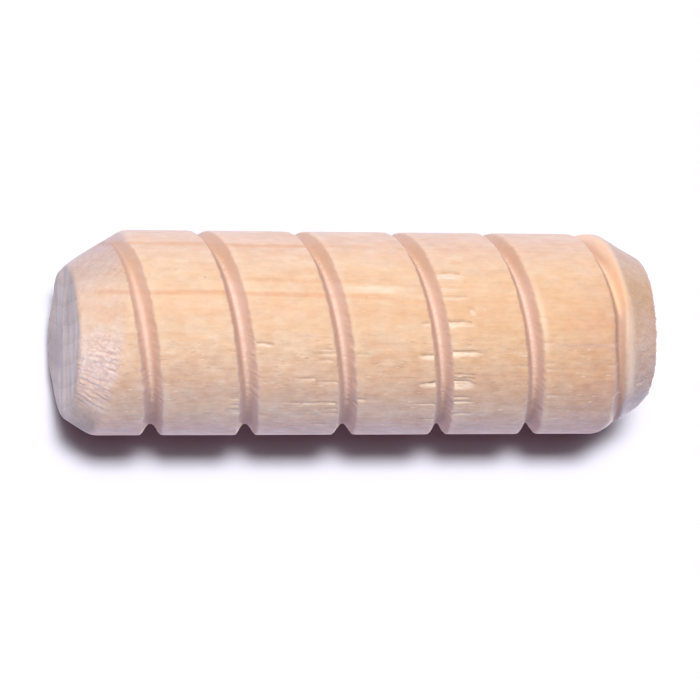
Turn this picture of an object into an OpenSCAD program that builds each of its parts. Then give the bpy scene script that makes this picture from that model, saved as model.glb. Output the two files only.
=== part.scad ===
// Spiral-groove dowel pin, standing on its lower end.
// A round hardwood rod with a V groove wound round it for glue and air, cut to
// length and pointed at both ends so that it starts easily in a drilled hole.
// +Z runs along the pin, and the origin is the middle of the lower end face.

/* [Rod] */
// Diameter of the rod
rod_d = 12.7; // [8:0.1:25]
// Length of the pin over both end faces
rod_l = 37; // [20:0.5:80]

/* [Lower end] */
// How far in from the rod's side the lower cone reaches at its face
lower_cone_in = 1.68; // [0.5:0.02:2.5]
// Length of the lower cone along the pin
lower_cone_l = 2.85; // [1:0.05:5]
// Sideways offset of the lower cone from the rod's axis, as it was cut
lower_cone_offset = 0.57; // [0:0.01:1]

/* [Upper end] */
// How far in from the rod's side the upper cone reaches at its face
upper_cone_in = 1.57; // [0.5:0.02:2.5]
// Length of the upper cone along the pin
upper_cone_l = 2.65; // [1:0.05:5]

/* [Groove] */
// Rise of the groove in one turn
groove_pitch = 6.1; // [3:0.1:15]
// Depth of the groove below the rod's side
groove_depth = 0.7; // [0.2:0.05:1.5]
// Angle between the groove's two walls
groove_angle = 60; // [50:1:110]
// Radius that rounds the bottom of the groove
groove_round = 0.3; // [0.1:0.05:0.5]
// Height of the groove's lowest full crossing of the front, the -Y side
groove_start = 4.05; // [0:0.05:15]

/* [Hidden] */

rod_r = rod_d / 2;
wood = [0.93, 0.78, 0.64];

// Room for a cutter to pass clear of the surface it cuts
clear = 0.5;
// Flat steps in one turn of the groove, and across its rounded bottom
turn_steps = 48;
round_steps = 4;

// The groove is followed from below the lower face to above the upper one, in
// whole steps counted from its crossing of the front
groove_low = -groove_depth - clear;
groove_high = rod_l + groove_depth + clear;
front = -90;
first_step = floor((groove_low - groove_start) / groove_pitch * turn_steps);
last_step = ceil((groove_high - groove_start) / groove_pitch * turn_steps);
groove_steps = last_step - first_step;

dowel_pin();

module dowel_pin() {
    color(wood)
        difference() {
            cylinder(h = rod_l, r = rod_r, $fn = 180);
            translate([lower_cone_offset, 0, 0])
                around_cone(rod_r - lower_cone_in, lower_cone_in, lower_cone_l, lower_cone_offset);
            translate([0, 0, rod_l])
                mirror([0, 0, 1])
                    around_cone(rod_r - upper_cone_in, upper_cone_in, upper_cone_l, 0);
            spiral_groove();
        }
}

// What is cut away outside a cone that widens upwards from face_r at height 0,
// by cone_in over cone_l, until it is clear of a rod that is off its axis
module around_cone(face_r, cone_in, cone_l, offset) {
    reach = rod_r + offset + clear - face_r;
    height = cone_l * reach / cone_in;
    difference() {
        translate([0, 0, -clear])
            cylinder(h = clear + height, r = face_r + reach + clear, $fn = 180);
        translate([0, 0, -clear])
            cylinder(h = clear + height + clear, r1 = face_r - clear * cone_in / cone_l,
                     r2 = face_r + reach + clear * cone_in / cone_l, $fn = 180);
    }
}

// One body swept along the helix: each section stands in a plane through the axis
module spiral_groove() {
    section = groove_section();
    n = len(section);
    points = [
        for (step = [first_step : last_step])
            let (turn = step / turn_steps)
            for (p = section)
                [p[0] * cos(front + 360 * turn),
                 p[0] * sin(front + 360 * turn),
                 groove_start + groove_pitch * turn + p[1]]
    ];
    sides = [
        for (step = [0 : groove_steps - 1], i = [0 : n - 1])
            let (a = step * n + i, b = step * n + (i + 1) % n)
            for (triangle = [[a, a + n, b + n], [a, b + n, b]])
                triangle
    ];
    start_cap = [[for (i = [0 : n - 1]) i]];
    end_cap = [[for (i = [n - 1 : -1 : 0]) groove_steps * n + i]];
    polyhedron(points = points, faces = concat(sides, start_cap, end_cap), convexity = 10);
}

// The groove's outline as [distance from the axis, height]: a V with a round
// bottom, its walls carried out past the rod's side
function groove_section() =
    let (
        half = groove_angle / 2,
        round_centre = rod_r - groove_depth + groove_round,
        wall_r = round_centre - groove_round * sin(half),
        wall_z = groove_round * cos(half),
        mouth_z = wall_z + (rod_r + clear - wall_r) * tan(half),
        bottom = [
            for (i = [0 : round_steps])
                let (angle = (2 * i / round_steps - 1) * (90 - half))
                [round_centre - groove_round * cos(angle), groove_round * sin(angle)]
        ]
    )
    concat([[rod_r + clear, -mouth_z]], bottom, [[rod_r + clear, mouth_z]]);
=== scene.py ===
import math

import bpy
import numpy as np
from mathutils import Matrix, Vector


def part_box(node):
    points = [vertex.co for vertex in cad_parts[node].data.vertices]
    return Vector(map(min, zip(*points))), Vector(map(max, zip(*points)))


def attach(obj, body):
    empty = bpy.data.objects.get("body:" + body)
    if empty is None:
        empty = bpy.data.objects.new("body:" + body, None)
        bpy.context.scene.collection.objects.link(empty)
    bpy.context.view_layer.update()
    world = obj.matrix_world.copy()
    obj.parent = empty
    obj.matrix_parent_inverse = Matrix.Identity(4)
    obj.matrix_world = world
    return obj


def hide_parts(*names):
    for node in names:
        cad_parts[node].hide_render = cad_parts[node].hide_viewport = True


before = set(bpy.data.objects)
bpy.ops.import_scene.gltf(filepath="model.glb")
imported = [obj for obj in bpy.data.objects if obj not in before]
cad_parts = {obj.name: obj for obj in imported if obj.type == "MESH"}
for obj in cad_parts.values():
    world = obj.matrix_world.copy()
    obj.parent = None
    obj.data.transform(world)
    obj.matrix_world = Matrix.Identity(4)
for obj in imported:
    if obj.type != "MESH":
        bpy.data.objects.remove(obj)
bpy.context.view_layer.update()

# ---------------------------------------------------------------- the camera
# A long lens square on to the front of the pin, from 15 degrees below level.
# It is turned so that the pin lies flat, with its lower end at the left.

MM = 0.001
camera_data = bpy.data.cameras.new("camera")
camera_data.sensor_width = 36
camera_data.lens = 213.3
camera = bpy.data.objects.new("camera", camera_data)
bpy.context.collection.objects.link(camera)
bpy.context.scene.camera = camera

camera_tilt = math.radians(14.93)
camera_roll = math.radians(0.12)
camera_distance = 260
camera_aim = Vector((1.05, 0, 18.38)) * MM
camera_back = Vector((0, -math.cos(camera_tilt), -math.sin(camera_tilt)))
camera_up = Vector((-1, 0, 0))
camera_right = camera_up.cross(camera_back)
turned = Matrix((camera_right, camera_up, camera_back)).transposed().to_4x4()
camera.matrix_world = (
    Matrix.Translation(camera_aim + camera_back * camera_distance * MM)
    @ turned @ Matrix.Rotation(camera_roll, 4, "Z"))

# ------------------------------------------------------------------- the pin
# One length of pale hardwood rod. A V groove is wound round it in a right-hand
# spiral and a blunt cone is cut on each end, the lower one a little off-centre.
# The cutter tore splinters out of the wood beside the groove and on that cone.

# Sizes are in millimetres. The groove's walls stand a little wider apart than in
# the CAD, and its bottom is a little sharper.
pin_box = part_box("dowel_pin")
rod_l = (pin_box[1][2] - pin_box[0][2]) / MM
rod_r = (pin_box[1][0] - pin_box[0][0]) / 2 / MM
lower_cone_in, lower_cone_l, lower_cone_offset = 1.68, 2.85, 0.57
upper_cone_in, upper_cone_l = 1.57, 2.65
groove_pitch, groove_depth, groove_start = 6.1, 0.7, 4.05
groove_half_angle = math.radians(34)
groove_round = 0.24
lip_round_below, lip_round_above = 0.04, 0.07
face_travel = 3.0
corner_reach, edge_blend = 0.24, 0.12
front = -math.pi / 2


def smooth_step(value, low, high):
    """0 below low, 1 above high, and 3s^2 - 2s^3 of the share s between them."""
    share = np.clip((value - low) / (high - low), 0, 1)
    return share * share * (3 - 2 * share)


def lattice_noise(x, y, z, seed):
    """Smooth noise from -1 to 1: a random value on each whole-number point of
    space, blended between the eight points round each place."""
    cell = [np.floor(a).astype(np.int64) for a in (x, y, z)]
    share = [smooth_step(a - c, 0, 1) for a, c in zip((x, y, z), cell)]
    total = 0
    for corner in range(8):
        step = (corner & 1, corner >> 1 & 1, corner >> 2)
        mixed = seed * 974634777
        for c, s, prime in zip(cell, step, (374761393, 668265263, 2147483647)):
            mixed = mixed + (c + s) * prime
        mixed = (mixed ^ (mixed >> 13)) * 1274126177
        value = ((mixed ^ (mixed >> 16)) & 0xFFFF) / 32767.5 - 1
        for f, s in zip(share, step):
            value = value * (f if s else 1 - f)
        total = total + value
    return total


def turned_outline(theta, travel):
    """Radius and height of the rod with its cones. Travel counts from the
    middle of the lower face, at -face_travel, out over its edge at 0, up the
    side by its height, and in over the upper face."""
    height = np.clip(travel, 0, rod_l)
    cone_r = rod_r - lower_cone_in + height * lower_cone_in / lower_cone_l
    lower_r = lower_cone_offset * np.cos(theta) + np.sqrt(
        cone_r ** 2 - (lower_cone_offset * np.sin(theta)) ** 2)
    upper_r = rod_r - upper_cone_in + (rod_l - height) * upper_cone_in / upper_cone_l
    radius = np.minimum(rod_r, np.minimum(lower_r, upper_r))
    share = 1 + np.minimum(travel, 0) / face_travel
    share = share * (1 + np.minimum(rod_l - travel, 0) / face_travel)
    return radius * share, height


def softened_outline(theta, travel):
    """The outline with its corners rounded: its mean over a short travel."""
    parts = [turned_outline(theta, travel + s) for s in np.linspace(-corner_reach, corner_reach, 7)]
    return (sum(p[0] for p in parts) / len(parts),
            sum(p[1] for p in parts) / len(parts))


def placed_closely(count, span, closeness):
    """Places along a span that stand as close as asked: equal shares of the
    running total of the closeness."""
    gathered = np.cumsum(closeness) - closeness[0]
    return np.interp(np.arange(count) / count * gathered[-1], gathered, span)


# The grid's rows wind up the pin with the groove, so that they run along its
# lips and its bottom. They stand closest at the lips, and the columns stand
# closest at the front, where the wood is torn.
columns, rows_in_turn, fine_steps = 300, 46, 2001
torn_middle = front + 0.45
lip_from_middle = 0.63
around = np.linspace(0, 2 * math.pi, fine_steps)
near_torn = 1 + 1.3 * np.exp(-((around - math.pi) / 0.8) ** 2)
column_angles = torn_middle - math.pi + placed_closely(columns, around, near_torn)
across_turn = np.linspace(-0.5, 0.5, fine_steps) * groove_pitch
near_lips = (1 + 2.5 * np.exp(-((np.abs(across_turn) - lip_from_middle) / 0.12) ** 2)
             + 0.8 * np.exp(-(across_turn / 0.3) ** 2))
row_steps = placed_closely(rows_in_turn, across_turn, near_lips)
first_turn = math.floor((-face_travel - groove_start) / groove_pitch) - 1
last_turn = math.ceil((rod_l + face_travel - groove_start) / groove_pitch)
turns = np.arange(first_turn, last_turn + 1)
rows = (groove_start + groove_pitch * turns[:, None] + row_steps[None, :]).ravel()
theta = column_angles[None, :]
climb = groove_pitch * (theta - front) / (2 * math.pi)
travel = np.clip(rows[:, None] + climb, -face_travel, rod_l + face_travel)
theta = theta + np.zeros_like(travel)

radius, height = softened_outline(theta, travel)
ahead, behind = (softened_outline(theta, travel + s) for s in (0.02, -0.02))
slope_r, slope_z = ahead[0] - behind[0], ahead[1] - behind[1]
slope = np.hypot(slope_r, slope_z)
normal_r, normal_z = slope_z / slope, -slope_r / slope

on_lower_face = 1 - smooth_step(travel, -edge_blend, edge_blend)
on_upper_face = smooth_step(travel, rod_l - edge_blend, rod_l + edge_blend)
on_side = (1 - on_lower_face) * (1 - on_upper_face)
on_lower_cone = on_side * (travel < rod_l / 2) * smooth_step(rod_r - radius, 0.02, 0.25)
on_upper_cone = on_side * (travel > rod_l / 2) * smooth_step(rod_r - radius, 0.02, 0.25)

# Lower and upper are the pin's two ends. Low is its +X side and high its -X
# side, as it lies for the camera. The angle round from the front is positive on
# the low side. What differs between the sides fades out before the back, where
# they meet.
round_x, round_y = radius * np.cos(theta), radius * np.sin(theta)
round_front = (theta - front + math.pi) % (2 * math.pi) - math.pi
by_front = 1 - smooth_step(np.abs(round_front), 1.8, 2.8)
before_back = 1 - smooth_step(round_front, 1.8, 2.8)


def fibre_noise(across, along, seed):
    """Noise drawn out along the grain: cells across wide and along long."""
    return lattice_noise(round_x / across, round_y / across, height / along, seed)


# The groove: a round bottom between two straight walls, and lips that are a
# little broken. It is wider in its first turns and on the low side, where it
# also leans, and its last turn bends and narrows as it runs on to the cone.
wider_at_start, wider_low = 0.13, 0.08
on_first_turn = 1 - smooth_step(travel, 6.0, 7.5)
on_last_turn = smooth_step(travel, 31.8, 33.2)
bend = on_last_turn * before_back * (0.25 * smooth_step(round_front, -0.4, 0.2)
                                     + 0.12 * smooth_step(round_front, -0.2, 0.25))
pinch = 0.9 * on_last_turn * before_back * smooth_step(round_front, -0.3, 0.1)
low_side = smooth_step(round_front, 0.9, 1.4) * before_back
lean = (np.interp(travel, [5, 18, 24, 30], [0.075, 0.04, 0.0, -0.1])
        * smooth_step(round_front, 0.2, 0.9) * before_back)
from_middle = travel - groove_start - climb + bend - lean
from_middle = (from_middle + groove_pitch / 2) % groove_pitch - groove_pitch / 2
widening = (1 + wider_at_start * (1 - smooth_step(travel, 4, 17))) * (1 + wider_low * low_side)
ragged = 0.05 * fibre_noise(0.35, 1.0, 3) + 0.03 * fibre_noise(0.15, 0.5, 4)
ragged = ragged * (np.abs(from_middle) > 0.4)
off_middle = np.abs(from_middle) * (1 + pinch * (from_middle > 0))
off_middle = np.maximum(off_middle / widening + ragged, 0)
round_reach = groove_round * math.cos(groove_half_angle)
in_round = np.minimum(off_middle, round_reach)
sunk = (groove_depth - groove_round + np.sqrt(groove_round ** 2 - in_round ** 2)
        - (off_middle - in_round) / math.tan(groove_half_angle))
groove_r = rod_r - sunk
gap = radius - groove_r

# The cut is a soft maximum of the gap and 0, half of gap + root(gap^2 + round^2),
# which rounds the lips. Cut fibres make the walls fuzzy, most of all a little to
# the low side of the front.
least_cut = 0.002
lip_round = np.where(from_middle > 0, lip_round_above, lip_round_below)
cut = (gap + np.sqrt(gap ** 2 + lip_round ** 2)) / 2
cut = np.where(cut > least_cut, cut, 0) * on_side
in_groove = smooth_step(gap, -0.02, 0.12) * on_side
across_groove = from_middle / widening
fuzz = in_groove * (0.008 + 0.02 * np.exp(-((round_front - 0.75) / 0.2) ** 2)) * (
    fibre_noise(0.16, 0.3, 5) + 0.7 * fibre_noise(0.1, 0.14, 6))

# Chips beside the groove. Each is torn from the lip along the grain: a floor
# that deepens to one side, a steep break there, and a point at the far end.
# [turn of the groove, side of it, angle round from the front, distance from the
# groove's middle, length, width, depth]
chips = [
    (3, 1, 33.4, 0.6, 1.75, 0.40, 0.12), (3, 1, 24.7, 0.6, 1.80, 0.20, 0.04),
    (3, 1, 19.2, 0.6, 1.70, 0.22, 0.08), (3, 1, 11.4, 2.1, 0.35, 0.45, 0.10),
    (3, 1, 4.5, 0.6, 1.65, 0.36, 0.15), (3, 1, -12.0, 0.6, 2.00, 0.32, 0.17),
    (3, 1, -24.6, 0.6, 1.50, 0.14, 0.12), (3, 1, -27.2, 0.6, 1.60, 0.20, 0.14),
    (3, 1, -30.8, 0.6, 1.35, 0.62, 0.26), (3, 1, -39.6, 0.6, 1.30, 0.20, 0.10),
    (3, 1, -43.0, 0.6, 1.40, 0.24, 0.14), (3, 1, -52.9, 0.6, 1.40, 0.20, 0.10),
    (3, 1, -74.0, 0.6, 1.20, 0.14, 0.06),
    (3, -1, 4.2, 0.6, 0.60, 0.20, 0.08), (3, -1, -13.7, 0.6, 1.00, 0.30, 0.14),
    (3, -1, -30.5, 0.6, 1.10, 0.34, 0.17), (3, -1, -44.2, 0.6, 1.40, 0.16, 0.10),
    (3, -1, -57.7, 0.6, 1.35, 0.10, 0.10),
    (2, 1, -12.8, 0.7, 0.90, 0.14, 0.05), (2, 1, -41.4, 0.6, 0.70, 0.20, 0.10),
    (2, -1, -9.9, 0.6, 1.40, 0.12, 0.07), (2, -1, -12.2, 0.6, 1.50, 0.14, 0.08),
    (2, -1, -15.8, 0.9, 0.90, 0.12, 0.06), (2, -1, -26.9, 2.0, 1.30, 0.16, 0.09),
    (2, -1, -29.1, 0.6, 1.50, 0.14, 0.08), (2, -1, -43.4, 0.7, 3.20, 0.18, 0.11),
    (2, -1, -48.4, 0.6, 1.00, 0.12, 0.09), (2, -1, -51.9, 0.6, 1.10, 0.12, 0.07),
    (2, -1, -63.1, 1.0, 1.30, 0.20, 0.10),
    (1, 1, -7.0, 0.7, 1.20, 0.18, 0.12), (1, -1, -40.0, 0.6, 0.60, 0.14, 0.08),
    (1, -1, -45.5, 0.6, 0.70, 0.14, 0.08), (1, -1, -49.0, 0.6, 0.90, 0.12, 0.08),
    (4, 1, -17.5, 0.6, 0.60, 0.12, 0.06), (4, 1, -21.0, 0.6, 0.70, 0.12, 0.06),
]

# The breaks waver a little along the grain
waver = 0.05 * fibre_noise(0.5, 0.7, 11) + 0.03 * fibre_noise(0.3, 0.25, 12)


def torn_out(turn, side, angle, start, length, width, depth):
    """One chip: how deep it is at each point, how much of it is bare torn wood,
    and the dark painted shade along its break. Its width shrinks as the root of 1 - s^p
    over the share s of its length, with a higher power p and so a blunter end
    for a wide chip, and its floor rises away from the break."""
    turned_by = (theta - front + math.radians(angle) + math.pi) % (2 * math.pi) - math.pi
    middle = groove_start + groove_pitch * (turn - angle / 360)
    along = side * (travel - middle - groove_pitch * turned_by / (2 * math.pi)) - start
    upward = -rod_r * turned_by + waver
    share = np.clip(along / length, 0, 1)
    half = width / 2 * (1 - share ** (2 + 8 * width ** 2)) ** 0.5 + 1e-6
    floor = np.clip((upward / half + 1) / 2, 0, 1)
    inside = (along > 0) * (share < 1) * (1 - smooth_step(upward - half, 0, 0.07))
    bare = inside * smooth_step(upward / half, -1.1, -0.6) * (1 - share) ** 0.3
    break_shade = (along > -0.05) * (share < 0.9) * np.exp(-((upward - half - 0.09) / 0.09) ** 2)
    return depth * (1 - share) ** 0.6 * floor * inside, bare, break_shade


# Small chatter follows the chips along the whole groove, at even steps round it.
# It leaves out the front of the two turns where the chips stand closest.
chatter_step = 15.5
chance = np.random.default_rng(5)
chatter = []
for turn in range(-1, 7):
    for side in (-1, 1):
        for step in range(24):
            angle = 180 - step * chatter_step + chance.uniform(-2.5, 2.5)
            against = 0.5 + 0.5 * math.cos(2 * math.radians(angle + 30))
            length = chance.uniform(0.3, 1.3) * (0.35 + 0.65 * against)
            width = chance.uniform(0.16, 0.26)
            depth = chance.uniform(0.01, 0.06) * (0.3 + 0.7 * against)
            among_chips = turn in (2, 3) and -65 < angle < 10
            if chance.random() < 0.25 + 0.5 * against and not among_chips:
                chatter.append((turn, side, angle, 0.6, length, width, depth))

# A chip of this depth or more shows its bare wood and the painted shade along its break in full
full_depth = 0.12
torn = np.zeros_like(travel)
chipped = np.zeros_like(travel)
shaded_breaks = np.zeros_like(travel)
for chip in chips + chatter:
    deep, bare, break_shade = torn_out(*chip)
    chipped = np.maximum(chipped, deep)
    shown = min(1, chip[-1] / full_depth)
    torn = np.maximum(torn, bare * shown)
    shaded_breaks = np.maximum(shaded_breaks, break_shade * shown)
chipped = chipped * on_side
torn = torn * on_side
shaded_breaks = shaded_breaks * on_side * (1 - in_groove)

# The torn patch on the lower cone: the wood broke away there in short slanting
# steps that run back along the grain, with loose flakes between them.
step_width, step_rise = 0.40, 0.13
flake_width, flake_rise = 0.26, 0.06
patch_edge = round_front + 0.1 * fibre_noise(0.8, 0.6, 26)
patch = (smooth_step(patch_edge, -0.25, 0.3) * (1 - smooth_step(patch_edge, 0.8, 1.1))
         * on_lower_cone * (1 - smooth_step(height + 0.4 * fibre_noise(0.6, 3, 27), 2.2, 3.4)))
slant = (rod_r * round_front - 0.08 * height + 0.25 * fibre_noise(0.9, 1.0, 21)
         + 0.10 * fibre_noise(0.35, 0.5, 22))
across_step = (slant / step_width) % 1
stepped = smooth_step(lattice_noise(slant / step_width, height / 0.7, 0 * height, 23), -0.4, 0.5)
low_patch = patch * (0.4 + 0.6 * smooth_step(round_front, 0.2, 0.45))
terraces = step_rise * low_patch * stepped * (across_step - 0.5)
terraces = terraces * (1 - smooth_step(across_step, 0.75, 1.0))
flakes = smooth_step(lattice_noise(slant / flake_width, height / 0.45, 0 * height, 28), 0.0, 0.25)
terraces = terraces + flake_rise * patch * flakes
rough_cone = 0.014 * fibre_noise(0.22, 0.5, 24) + 0.010 * fibre_noise(0.13, 0.22, 25)

# The sawn end faces: low ridges left by the saw's teeth, straight across. The
# upper face reads the noise from another place than the lower one.
other_place = on_upper_face * 9
ridges = (lattice_noise(round_y / 1.6, round_x / 6, other_place, 31) * 0.05
          + lattice_noise(round_y / 0.8, round_x / 1.5, other_place, 32) * 0.012
          + lattice_noise(round_y / 2.6, round_x / 1.8, other_place, 33) * 0.11)
ridges = ridges * (on_lower_face + on_upper_face) * smooth_step(radius, 0.0, 0.6)

# The rod's long swells, its rims and the roughness of its cones
swell = (0.018 * fibre_noise(5.0, 14.0, 41) + 0.006 * fibre_noise(0.5, 5.0, 42)
         + 0.004 * fibre_noise(0.25, 2.5, 43))
near_rim = np.exp(-(travel / 0.3) ** 2) + 0.4 * np.exp(-((travel - rod_l) / 0.3) ** 2)
near_rim = near_rim * (0.035 * lattice_noise(round_x / 0.6, round_y / 0.6, height, 44))
relief = (swell * on_side - chipped + terraces + ridges + fuzz + near_rim
          + rough_cone * (on_lower_cone * (0.2 + 1.2 * patch) + 1.5 * on_upper_cone))

# The pin's surface sways along it, neither end is sawn quite square, and the
# lower cone was shaved a little more at its start on the high side.
lower_askew, shaved_by = 0.07, 0.11
upper_askew_x = [-4.8, -2, 0, 0.5, 2, 3.8, 4.6]
upper_askew = [0.19, 0.094, 0.09, 0.10, 0.23, 0.20, 0.02]
sway = -0.14 * np.sin(2 * math.pi * np.clip((height - 4) / 24.4, 0, 1))
by_lower_end = 1 - smooth_step(travel, -0.3, 1.5)
by_upper_end = smooth_step(travel, rod_l - 1.5, rod_l + 0.3)
askew = lower_askew * by_lower_end + np.interp(round_x, upper_askew_x, upper_askew) * by_upper_end
shaved = shaved_by * by_lower_end * smooth_step(-round_front, 0.4, 0.9) * by_front * on_side
shape_r = radius - cut * normal_r.clip(0.5, 1) + relief * normal_r - shaved
shape_z = height + sway + askew + relief * normal_z

# One point at the middle of each face, and two triangles to each cell, less
# those that the middles have flattened. The last column joins the first one a
# whole turn further up.
points = np.stack([shape_r * np.cos(theta), shape_r * np.sin(theta), shape_z], axis=-1) * MM
row_count = len(rows)
number = np.arange(row_count * columns).reshape(row_count, columns)
lower_pole, upper_pole = row_count * columns, row_count * columns + 1
number = np.where(travel <= -face_travel, lower_pole, number)
number = np.where(travel >= rod_l + face_travel, upper_pole, number)
beyond = np.vstack([number, np.full((rows_in_turn, columns), upper_pole)])
right = np.hstack([beyond[:row_count, 1:], beyond[rows_in_turn:, :1]])
a, b, c, d = number[:-1], right[:-1], right[1:], number[1:]
triangles = np.concatenate([np.stack([a, b, c], -1).reshape(-1, 3),
                            np.stack([a, c, d], -1).reshape(-1, 3)])
whole = ((triangles[:, 0] != triangles[:, 1]) & (triangles[:, 1] != triangles[:, 2])
         & (triangles[:, 0] != triangles[:, 2]))
triangles = triangles[whole]
used, triangles = np.unique(triangles, return_inverse=True)
triangles = triangles.reshape(-1, 3)
pole_z = [lower_askew, rod_l + np.interp(0, upper_askew_x, upper_askew)]
poles = np.array([[0, 0, z] for z in pole_z]) * MM
points = np.vstack([points.reshape(-1, 3), poles])[used]


def put_mesh(name, points, triangles):
    """Puts arrays of points and triangles into a new smooth mesh object."""
    mesh = bpy.data.meshes.new(name)
    mesh.vertices.add(len(points))
    mesh.vertices.foreach_set("co", points.ravel())
    mesh.loops.add(triangles.size)
    mesh.loops.foreach_set("vertex_index", triangles.ravel())
    mesh.polygons.add(len(triangles))
    mesh.polygons.foreach_set("loop_start", np.arange(0, triangles.size, 3))
    mesh.polygons.foreach_set("use_smooth", np.ones(len(triangles), bool))
    mesh.update(calc_edges=True)
    mesh.validate()
    piece = bpy.data.objects.new(name, mesh)
    bpy.context.collection.objects.link(piece)
    return piece


def put_layer(piece, name, values, at_poles=0):
    """Stores one number for each point, for the material to read."""
    layer = piece.data.attributes.new(name, "FLOAT", "POINT")
    layer.data.foreach_set("value", np.append(values.ravel(), (at_poles, at_poles))[used])


pin = put_mesh("pin", points, triangles)

# Where each tint of the wood lies, and where shade and highlights are painted into it. The last turn
# of the groove is worn bare and warm up to the front, and runs on to the cone after it.
before_front = 1 - smooth_step(round_front, -0.4, -0.1)
worn_turn = on_last_turn * (1 - smooth_step(-round_front, 0.75, 0.95)) * before_front
worn_from = -0.35 + 0.5 * smooth_step(-round_front, 0.5, 0.8)
worn_groove = in_groove * (1 - 0.8 * worn_turn)
onto_cone = on_last_turn * smooth_step(round_front, -0.35, -0.1) * by_front
high_side = smooth_step(-round_front, 0.35, 0.95) * by_front
cone_high = (0.5 * on_lower_cone * high_side
             + 0.95 * on_upper_cone * smooth_step(-round_front, 0.15, 0.5) * by_front)
# A pale line along the groove's floor: painted highlight
floor_highlight_line = in_groove * (1 - onto_cone) * np.exp(-((across_groove - 0.02) / 0.10) ** 2)
# A dark line down the groove's lower wall: painted shade under its lip
lower_shade_line = (smooth_step(across_groove, -0.62, -0.36)
              * (1 - smooth_step(across_groove - 0.24 * onto_cone, -0.22, -0.02)))
far_from = 0.2 - 0.2 * on_first_turn
far_line = in_groove * smooth_step(across_groove, far_from, far_from + 0.25) * by_front
# A pale band just outside the groove's upper lip, strongest at one spot, and on the last turn's upper
# wall where it runs on to the cone: painted highlight
lit_lip_spot = np.exp(-((travel - 29.0) / 0.9) ** 2) * np.exp(-((round_front + 0.12) / 0.32) ** 2)
lip_highlight = (1 - in_groove) * np.exp(-((across_groove - 0.78) / 0.17) ** 2) * (0.15 + 0.6 * lit_lip_spot)
start_highlight = (0.7 * onto_cone * np.exp(-((across_groove - 0.5) / 0.3) ** 2)
              * (1 - smooth_step(round_front, 0.5, 0.9)))
sawn_rim = 1 - smooth_step(travel, -0.02, 0.32)
sawn_low = smooth_step(round_front + 0.25 * (1.2 - travel).clip(0), 0.85, 1.2)
lower_ash = 0.25 + 0.45 * high_side
upper_ash = 0.72 + by_front * (0.28 * smooth_step(round_front, 0.1, 0.45)
                               - 0.25 * smooth_step(-round_front, 0.3, 0.6))
masks = {
    "groove": worn_groove,
    # In the groove, the browner high side and the dimmer low side are painted shade; on the cones the
    # same high-side mask gives a browner tint
    "high_side": np.maximum(worn_groove * high_side, cone_high),
    "groove_low": worn_groove * smooth_step(round_front, 0.48, 0.9) * by_front,
    "worn": (on_side * on_last_turn * smooth_step(across_groove, worn_from, worn_from + 0.3)
             * (1 - smooth_step(across_groove, 0.6, 0.95)) * before_front * by_front),
    "groove_floor_highlight": (floor_highlight_line
                     * (1 - 0.85 * on_first_turn * (1 - smooth_step(round_front, -0.1, 0.15)))
                     * (1 - smooth_step(-round_front, 0.8, 1.15))
                     * (1 - smooth_step(round_front, 0.7, 1.0))),
    "lower_wall_shade": (on_side * lower_shade_line * (0.7 + 0.3 * on_last_turn)
                   * (1 - smooth_step(-round_front, 0.75, 1.0)) * by_front
                   * (1 - on_first_turn * (0.9 - 0.45 * smooth_step(round_front, 0.0, 0.5)))),
    "far_wall": far_line * (1 - on_last_turn) * np.maximum(
        smooth_step(round_front, 0.1, 0.5), 0.45 + 0.45 * on_first_turn),
    "upper_lip_highlight": on_side * (lip_highlight + start_highlight),
    "torn": torn,
    "break_shade": shaded_breaks,
    "patch": patch * (1 - 0.55 * smooth_step(round_front, 0.4, 0.65)),
    "cone": on_lower_cone * lower_ash + on_upper_cone * upper_ash,
    "face_rim_shade": sawn_rim * smooth_step(travel, -0.35, -0.1),
    "rim_highlight": (on_lower_cone * np.exp(-((travel - 0.4) / 0.13) ** 2)
                   * smooth_step(round_front, -0.5, -0.2) * (1 - smooth_step(round_front, 0.5, 0.8))),
}
for name, mask in masks.items():
    put_layer(pin, name, mask)
end_grain = np.maximum(sawn_rim + on_upper_face, 0.8 * on_lower_cone * by_front * sawn_low)
put_layer(pin, "end_grain", end_grain, at_poles=1)


def add(tree, kind, sockets=None, **settings):
    """Adds a node, sets its settings, and links or sets its named inputs."""
    node = tree.nodes.new(kind)
    for name, value in settings.items():
        setattr(node, name, value)
    for name, value in (sockets or {}).items():
        if isinstance(value, bpy.types.NodeSocket):
            tree.links.new(value, node.inputs[name])
        else:
            node.inputs[name].default_value = value
    return node


def worked(tree, operation, a, b=0.0, c=0.0):
    """One sum on numbers; its result."""
    return add(tree, "ShaderNodeMath", {0: a, 1: b, 2: c}, operation=operation).outputs[0]


def times(tree, a, b):
    """The product of two numbers."""
    return worked(tree, "MULTIPLY", a, b)


def spread(tree, value, low, high, to_low=0.0, to_high=1.0):
    """Carries a range of a number smoothly onto another range."""
    node = add(tree, "ShaderNodeMapRange",
               {"Value": value, "From Min": low, "From Max": high,
                "To Min": to_low, "To Max": to_high}, interpolation_type="SMOOTHSTEP")
    return node.outputs["Result"]


def blended(tree, share, a, b, how="MIX"):
    """Two colours mixed by a share."""
    node = add(tree, "ShaderNodeMix", {"Factor": share}, data_type="RGBA", blend_type=how)
    for socket, value in (("A", a), ("B", b)):
        target = [s for s in node.inputs if s.name == socket and s.type == "RGBA"][0]
        if isinstance(value, bpy.types.NodeSocket):
            tree.links.new(value, target)
        else:
            target.default_value = (*value, 1)
    return [s for s in node.outputs if s.type == "RGBA"][0]


def tinted(tree, colour, tint):
    """A colour multiplied by a tint."""
    return blended(tree, 1.0, colour, tint, "MULTIPLY")


def stretched_noise(tree, place, across, along, detail=2.0, rough=0.5):
    """Noise with cells so many millimetres across and along the grain."""
    scaled = add(tree, "ShaderNodeVectorMath", {0: place, 1: (1 / across, 1 / across, 1 / along)},
                 operation="MULTIPLY").outputs[0]
    return add(tree, "ShaderNodeTexNoise",
               {"Vector": scaled, "Scale": 1.0, "Detail": detail, "Roughness": rough}).outputs["Fac"]


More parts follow.
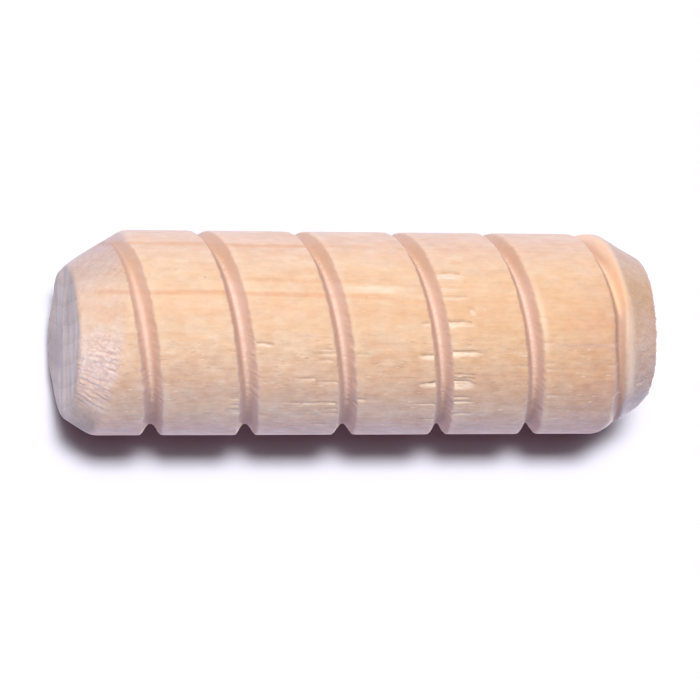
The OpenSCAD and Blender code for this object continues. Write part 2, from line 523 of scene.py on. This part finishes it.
wood = bpy.data.materials.new("pale_hardwood")
wood.use_nodes = True
tree = wood.node_tree
tree.nodes.clear()
object_place = add(tree, "ShaderNodeTexCoord").outputs["Object"]
place = add(tree, "ShaderNodeVectorMath", {0: object_place, "Scale": 1 / MM},
            operation="SCALE").outputs[0]
at_x, at_y, at_z = add(tree, "ShaderNodeSeparateXYZ", {0: place}).outputs
layers = {name: add(tree, "ShaderNodeAttribute", attribute_name=name).outputs["Fac"]
          for name in (*masks, "end_grain")}

# Growth rings: nearly flat layers across X that drift a little along the pin. The stops past 2.5
# towards the low side are also darker and duller: painted shade along that side. Each stop is [place
# across, colour]
drift = stretched_noise(tree, place, 4, 9)
layer_at = worked(tree, "MULTIPLY_ADD", at_z, -0.015, at_x)
layer_at = worked(tree, "MULTIPLY_ADD", drift, 0.6, worked(tree, "SUBTRACT", layer_at, 0.22))
cream, peach, rose = (0.90, 0.61, 0.41), (0.875, 0.565, 0.37), (0.88, 0.575, 0.40)
ring_span = 15
ring_stops = [
    (-7.0, rose), (-5.4, rose), (-4.4, cream), (-3.5, (0.885, 0.59, 0.39)), (-3.0, cream),
    (-2.3, cream), (-1.4, peach), (-0.6, (0.89, 0.60, 0.405)), (0.2, (0.89, 0.605, 0.42)),
    (1.5, (0.88, 0.59, 0.41)), (2.6, (0.85, 0.56, 0.40)), (3.8, (0.785, 0.525, 0.385)),
    (4.9, (0.775, 0.53, 0.375)), (5.7, (0.81, 0.53, 0.37)), (6.5, (0.82, 0.53, 0.37))]
ring = add(tree, "ShaderNodeValToRGB",
           {"Fac": worked(tree, "MULTIPLY_ADD", layer_at, 1 / ring_span, 0.5)})
ramp = ring.color_ramp
while len(ramp.elements) < len(ring_stops):
    ramp.elements.new(0.5)
# The ramp sorts its stops as they are placed, so they are painted after that
for stop, (at, paint) in zip(ramp.elements, ring_stops):
    stop.position = (at + ring_span / 2) / ring_span
for stop, (at, paint) in zip(ramp.elements, ring_stops):
    stop.color = (*paint, 1)


def growth_line(at, half_width, from_z, to_z, share):
    """How strongly one growth line shows: most at its own layer, and only
    between two heights."""
    off = worked(tree, "ABSOLUTE", worked(tree, "SUBTRACT", layer_at, at))
    shows = spread(tree, off, half_width, half_width * 0.2, 0.0, share)
    shows = times(tree, shows, spread(tree, at_z, from_z - 2.0, from_z + 1.0))
    return times(tree, shows, spread(tree, at_z, to_z + 2.0, to_z - 1.0))


# [layer, half its width, from height, to height, share, colour]
growth_lines = [
    (-5.5, 0.15, -5, 15, 0.75, (0.83, 0.46, 0.27)), (-5.45, 0.10, 15, 31, 0.25, (0.83, 0.47, 0.27)),
    (-3.33, 0.22, 10, 17, 0.5, (0.82, 0.47, 0.29)), (-3.2, 0.16, 19, 34, 0.25, (0.82, 0.47, 0.29)),
    (-2.42, 0.24, 2, 18, 0.7, (0.82, 0.44, 0.26)), (-2.3, 0.16, 18, 34, 0.4, (0.83, 0.47, 0.28)),
    (-2.85, 0.34, 17.5, 19.5, 0.8, (0.98, 0.75, 0.55)),
    (-2.12, 0.22, 20.6, 21.4, 0.7, (0.90, 0.49, 0.26)),
    (-0.95, 0.45, 31, 33, 0.4, (0.84, 0.45, 0.28)), (0.35, 0.22, 30, 33, 0.4, (0.64, 0.40, 0.36)),
    (2.1, 0.5, 28, 33, 0.3, (0.84, 0.48, 0.29))]

# The noises that the wood is made of. Their colour grows stronger towards the low side, as painted
# relief shade where the light grazes.
fibres = stretched_noise(tree, place, 0.18, 2.2)
mottle = stretched_noise(tree, place, 0.45, 0.8, 1.5)
cloud = stretched_noise(tree, place, 1.2, 2.4)
grit = stretched_noise(tree, place, 0.15, 0.2, 2.0, 0.6)
hue = stretched_noise(tree, place, 0.8, 1.2, 1.5)
flecks = stretched_noise(tree, place, 0.28, 0.5, 1.0)
dashes = stretched_noise(tree, place, 0.09, 0.6, 1.0)
pale_dashes = stretched_noise(tree, place, 0.12, 0.7, 1.0)
splinters = stretched_noise(tree, place, 0.07, 0.5, 1.0)
specks = add(tree, "ShaderNodeTexVoronoi", {"Vector": place, "Scale": 0.8}).outputs
speck_size = times(tree, spread(tree, stretched_noise(tree, place, 3, 3), 0.45, 0.7), 0.12)
# Painted relief shade: the colour texture grows stronger towards the low side
relief_shade_share = spread(tree, at_x, -1.5, 2.0, 0.3, 1.0)

# Lighter and darker, and yellower and pinker, from place to place
tone = worked(tree, "MULTIPLY_ADD", fibres, 0.5, -0.25)
for noise, share in ((mottle, 0.9), (cloud, 0.6), (grit, 0.3)):
    tone = worked(tree, "MULTIPLY_ADD", worked(tree, "SUBTRACT", noise, 0.5), share, tone)
tone = worked(tree, "MULTIPLY_ADD", tone, spread(tree, relief_shade_share, 0.3, 1.0, 0.9, 1.6), 0.5)
toned = blended(tree, tone, (0.88, 0.82, 0.78), (1.10, 1.145, 1.15))
hued = blended(tree, spread(tree, hue, 0.35, 0.65), (1.0, 0.985, 0.96), (1.0, 1.045, 1.095))

# Calmer colour towards the lower end, and warmer towards the upper one, with
# the growth lines over it
warmth = times(tree, spread(tree, at_z, 4.0, 33.0), spread(tree, at_x, -4.5, -1.5, 0.35, 1.0))
warmth = times(tree, warmth, spread(tree, at_x, 3.0, 5.5, 1.0, 0.3))
colour = ring.outputs["Color"]
colour = blended(tree, warmth, colour, tinted(tree, colour, (0.95, 0.89, 0.80)))
by_corner = times(tree, spread(tree, at_z, 29.5, 33.5), spread(tree, at_z, 34.7, 34.2))
by_corner = times(tree, by_corner, spread(tree, at_x, -4.5, -2.5))
colour = blended(tree, by_corner, colour, tinted(tree, colour, (0.92, 0.87, 0.89)))
for *where, paint in growth_lines:
    colour = blended(tree, growth_line(*where), colour, paint)
colour = tinted(tree, tinted(tree, colour, toned), hued)

# Flecks, dark and pale dashes along the grain, and a few dark specks
colour = blended(tree, spread(tree, flecks, 0.58, 0.72, 0.0, 0.3), colour, (0.92, 0.53, 0.31))
dashed = times(tree, spread(tree, dashes, 0.655, 0.75, 0.0, 0.65), relief_shade_share)
colour = blended(tree, dashed, colour, (0.56, 0.35, 0.27))
paled = times(tree, spread(tree, pale_dashes, 0.66, 0.77, 0.0, 0.7), relief_shade_share)
colour = blended(tree, paled, colour, (0.99, 0.80, 0.66))
specked = worked(tree, "SUBTRACT", speck_size, specks["Distance"])
colour = blended(tree, spread(tree, specked, 0.0, 0.05, 0.0, 0.25), colour, (0.50, 0.27, 0.18))

# The cones, cut across the grain, are greyer and gritty
gritty = blended(tree, spread(tree, grit, 0.3, 0.7), (0.92, 0.91, 0.90), (1.07, 1.07, 1.07))
greyer = blended(tree, spread(tree, at_x, 0.5, 3.5), (0.72, 0.77, 1.03), (0.72, 0.77, 0.92))
greyed = tinted(tree, tinted(tree, colour, greyer), gritty)
colour = blended(tree, layers["cone"], colour, greyed)

# The groove, rubbed darker by the cutter: browner on the high side, as the cones are, and
# dimmer on the low side, both painted shade in the groove; redder on its far wall; a painted
# highlight broken by grit along its floor; warm where it is worn; painted shade along its lower wall;
# and a painted highlight along its upper lip
rubbed = blended(tree, 0.7, colour, (0.80, 0.545, 0.465))
colour = blended(tree, layers["groove"], colour, rubbed)
# Painted shade in the groove: browner on its high side, dimmer on its low side
for name, tint in (("high_side", (0.88, 0.80, 0.65)), ("groove_low", (0.81, 0.80, 0.81)),
                   ("far_wall", (0.93, 0.88, 0.82))):
    colour = blended(tree, layers[name], colour, tinted(tree, colour, tint))
# Painted highlight along the groove's floor, broken up by grit
grit_and_highlight = times(tree, layers["groove_floor_highlight"], spread(tree, grit, 0.35, 0.65, 0.0, 0.45))
colour = blended(tree, grit_and_highlight, colour, (0.87, 0.80, 0.73))
colour = blended(tree, times(tree, layers["worn"], 0.85), colour, (0.97, 0.61, 0.38))
# Painted shade along the groove's lower wall
colour = blended(tree, times(tree, layers["lower_wall_shade"], 0.85), colour, (0.53, 0.325, 0.24))
# Painted highlight along the groove's upper lip
colour = blended(tree, layers["upper_lip_highlight"], colour, (0.985, 0.73, 0.53))

# Bare wood in the chips and in the torn patch, painted shade along the break of each chip, and a
# painted highlight along the lower cone's rim
splintered = times(tree, layers["torn"], spread(tree, splinters, 0.36, 0.54, 0.3, 1.0))
colour = blended(tree, splintered, colour, (0.98, 0.79, 0.635))
# Painted shade along each chip's break
break_shadows = times(tree, layers["break_shade"], spread(tree, splinters, 0.6, 0.42, 0.25, 0.75))
colour = blended(tree, break_shadows, colour, (0.56, 0.325, 0.20))
flaked = blended(tree, spread(tree, stretched_noise(tree, place, 0.2, 0.3), 0.42, 0.62),
                 (0.76, 0.55, 0.50), (0.95, 0.77, 0.70))
colour = blended(tree, times(tree, layers["patch"], 0.65), colour, flaked)
# A pale line along the lower cone's rim: painted highlight
colour = blended(tree, times(tree, layers["rim_highlight"], 0.15), colour, (0.99, 0.86, 0.74))

# The wood is a little ruddier along the low side, and more so in the groove
ruddy = tinted(tree, colour, (0.98, 0.93, 0.95))
colour = blended(tree, spread(tree, at_x, 4.8, 5.6), colour, ruddy)
ruddy = tinted(tree, colour, (1.0, 0.92, 0.82))
colour = blended(tree, times(tree, layers["groove"], spread(tree, at_x, 4.4, 5.5)), colour, ruddy)

# A fine split that runs along the grain on the low side
split = worked(tree, "MULTIPLY_ADD", stretched_noise(tree, place, 3, 2.5), 0.3, at_y)
split = worked(tree, "ABSOLUTE", worked(tree, "ADD", split, 1.35))
split = times(tree, spread(tree, split, 0.07, 0.03, 0.0, 0.6), spread(tree, at_x, 5.0, 5.5))
split = times(tree, split, spread(tree, at_z, 11.5, 14.5))
split = times(tree, split, spread(tree, at_z, 24.0, 21.5))
split = times(tree, split, spread(tree, splinters, 0.35, 0.5, 0.2, 1.0))
colour = blended(tree, split, colour, (0.42, 0.26, 0.22))

# The sawn ends: darker end grain, streaked straight across by the saw, with
# faint growth arcs, one dark blotch, and painted shade round the lower face's rim
saw_at = add(tree, "ShaderNodeVectorMath", {0: place, 1: (0.2, 0.85, 1.0)},
             operation="MULTIPLY").outputs[0]
saw_marks = add(tree, "ShaderNodeTexNoise",
                {"Vector": saw_at, "Scale": 1.0, "Detail": 3.0, "Roughness": 0.55}).outputs["Fac"]
sawn = blended(tree, spread(tree, saw_marks, 0.3, 0.7), (0.36, 0.245, 0.175), (0.585, 0.40, 0.285))
arc = times(tree, worked(tree, "POWER", at_y, 2.0), 0.03)
arc = times(tree, worked(tree, "ADD", layer_at, arc), 0.8)
arc = worked(tree, "MULTIPLY_ADD", stretched_noise(tree, place, 1.5, 1.5), 0.35, arc)
layered = blended(tree, spread(tree, worked(tree, "FRACT", arc), 0.45, 1.0),
                  (1.03, 1.03, 1.03), (0.90, 0.87, 0.84))
sawn = tinted(tree, sawn, layered)
blotch = worked(tree, "ABSOLUTE", worked(tree, "SUBTRACT", at_x, 1.0))
blotch = times(tree, spread(tree, blotch, 2.2, 0.6), spread(tree, at_y, -1.0, 1.5, 0.08, 0.8))
sawn = blended(tree, blotch, sawn, (0.31, 0.21, 0.16))
# A darker rim round the lower face's edge: painted shade
sawn = blended(tree, times(tree, layers["face_rim_shade"], 0.45), sawn, (0.36, 0.25, 0.20))
sawn = tinted(tree, sawn, gritty)
colour = blended(tree, times(tree, layers["end_grain"], 0.9), colour, sawn)

fibre_height = worked(tree, "ADD", times(tree, fibres, 0.6), times(tree, grit, 0.2))
bump = add(tree, "ShaderNodeBump", {"Strength": 1.0, "Distance": 0.035 * MM, "Height": fibre_height})
surface = add(tree, "ShaderNodeBsdfPrincipled",
              {"Base Color": colour, "Normal": bump.outputs["Normal"], "Roughness": 0.62})
surface.inputs["Specular IOR Level"].default_value = 0.35
surface.inputs["Sheen Weight"].default_value = 0.08
surface.inputs["Sheen Roughness"].default_value = 0.4
add(tree, "ShaderNodeOutputMaterial", {"Surface": surface.outputs[0]})
pin.data.materials.append(wood)

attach(pin, "root")
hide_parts("dowel_pin")

# ----------------------------------------------------------------- the stage
# A white floor under the pin and a white wall close behind it. Only the
# camera's side of each is there, so that neither hides or darkens the pin.

sheet_reach = 400 * MM
wall_gap, floor_drop = 0.06 * MM, 0.05 * MM


def flat_sheet(name, corners):
    """One square of a mesh through four corners, anticlockwise seen from its front."""
    mesh = bpy.data.meshes.new(name)
    mesh.from_pydata(corners, [], [(0, 1, 2, 3)])
    sheet = bpy.data.objects.new(name, mesh)
    bpy.context.collection.objects.link(sheet)
    return sheet


def one_sided_white(name, seen, bounced, bounces):
    """White that shows from its front only and lets every shadow ray by. The
    camera sees the first colour, and other rays meet the second one, if any."""
    material = bpy.data.materials.new(name)
    material.use_nodes = True
    tree = material.node_tree
    tree.nodes.clear()
    path = add(tree, "ShaderNodeLightPath")
    behind = add(tree, "ShaderNodeNewGeometry").outputs["Backfacing"]
    hidden = worked(tree, "MAXIMUM", behind, path.outputs["Is Shadow Ray"])
    if not bounces:
        unseen = worked(tree, "SUBTRACT", 1.0, path.outputs["Is Camera Ray"])
        hidden = worked(tree, "MAXIMUM", hidden, unseen)
    paint = blended(tree, path.outputs["Is Camera Ray"], bounced, seen)
    face = add(tree, "ShaderNodeBsdfDiffuse", {"Color": paint})
    clear = add(tree, "ShaderNodeBsdfTransparent")
    both = add(tree, "ShaderNodeMixShader", {0: hidden, 1: face.outputs[0], 2: clear.outputs[0]})
    add(tree, "ShaderNodeOutputMaterial", {"Surface": both.outputs[0]})
    return material


wall_y = rod_r * MM + wall_gap
corners = [(-sheet_reach, -sheet_reach), (sheet_reach, -sheet_reach),
           (sheet_reach, sheet_reach), (-sheet_reach, sheet_reach)]
backdrop = flat_sheet("backdrop", [(x, wall_y, z) for x, z in corners])
backdrop.data.materials.append(
    one_sided_white("backdrop_white", (0.058, 0.0585, 0.065), (0.033, 0.038, 0.058), True))
floor = flat_sheet("floor", [(x, y, -floor_drop) for x, y in corners])
floor.data.materials.append(one_sided_white("floor_white", (1.5, 1.5, 1.5), (0.8, 0.8, 0.8), False))

world = bpy.data.worlds.new("studio")
bpy.context.scene.world = world
world.use_nodes = True
tree = world.node_tree
tree.nodes.clear()
path = add(tree, "ShaderNodeLightPath")
shown = worked(tree, "MAXIMUM", path.outputs["Is Glossy Ray"], path.outputs["Is Transmission Ray"])
shown = worked(tree, "MAXIMUM", path.outputs["Is Camera Ray"], shown)
tint = blended(tree, shown, (0.21, 0.21, 0.23), (1, 1, 1))
glow = add(tree, "ShaderNodeBackground", {"Color": tint, "Strength": 1.0})
add(tree, "ShaderNodeOutputWorld", {"Surface": glow.outputs[0]})

# Some of the lamps light the two sheets only
stage_only = bpy.data.collections.new("stage_only")
stage_only.objects.link(backdrop)
stage_only.objects.link(floor)


def sun(name, towards, strength, spread_angle, tint=(1, 1, 1), lights_only=None):
    """A sun lamp that shines from a direction, with its light's spread in degrees.
    It can be kept to one collection, where the pin still shades it."""
    data = bpy.data.lights.new(name, "SUN")
    data.color = tint
    data.energy = strength * math.pi
    data.angle = math.radians(spread_angle)
    lamp = bpy.data.objects.new(name, data)
    bpy.context.collection.objects.link(lamp)
    lamp.rotation_mode = "QUATERNION"
    lamp.rotation_quaternion = Vector(towards).to_track_quat("Z", "Y")
    lamp.light_linking.receiver_collection = lights_only


sun("key", (-0.345, -0.93, -0.15), 0.88, 11)
sun("back", (0.1, 0.8, 0.6), 0.6, 25, (1.0, 0.85, 0.66))
for end in (-1, 1):
    sun("upper side", (-0.5, 0.58, 0.75 * end), 0.52, 40, (0.5, 0.7, 1.0))
    sun("lower side", (0.62, 0.30, 0.75 * end), 0.475, 40, (0.42, 0.60, 1.0))
for sideways in (-0.08, -0.14, -0.20):
    sun("stage key", (-0.255, -0.95, sideways), 4.5, 9, lights_only=stage_only)
sun("stage glow", (-0.235, -0.95, -0.175), 2.6, 27, lights_only=stage_only)
sun("stage side", (-0.29, -0.95, 0.03), 0.9, 16, lights_only=stage_only)
sun("stage fill", (0.8, -0.6, 0), 1.3, 60, (1, 0.3, 0.5), stage_only)

bpy.context.scene.view_settings.view_transform = "Standard"
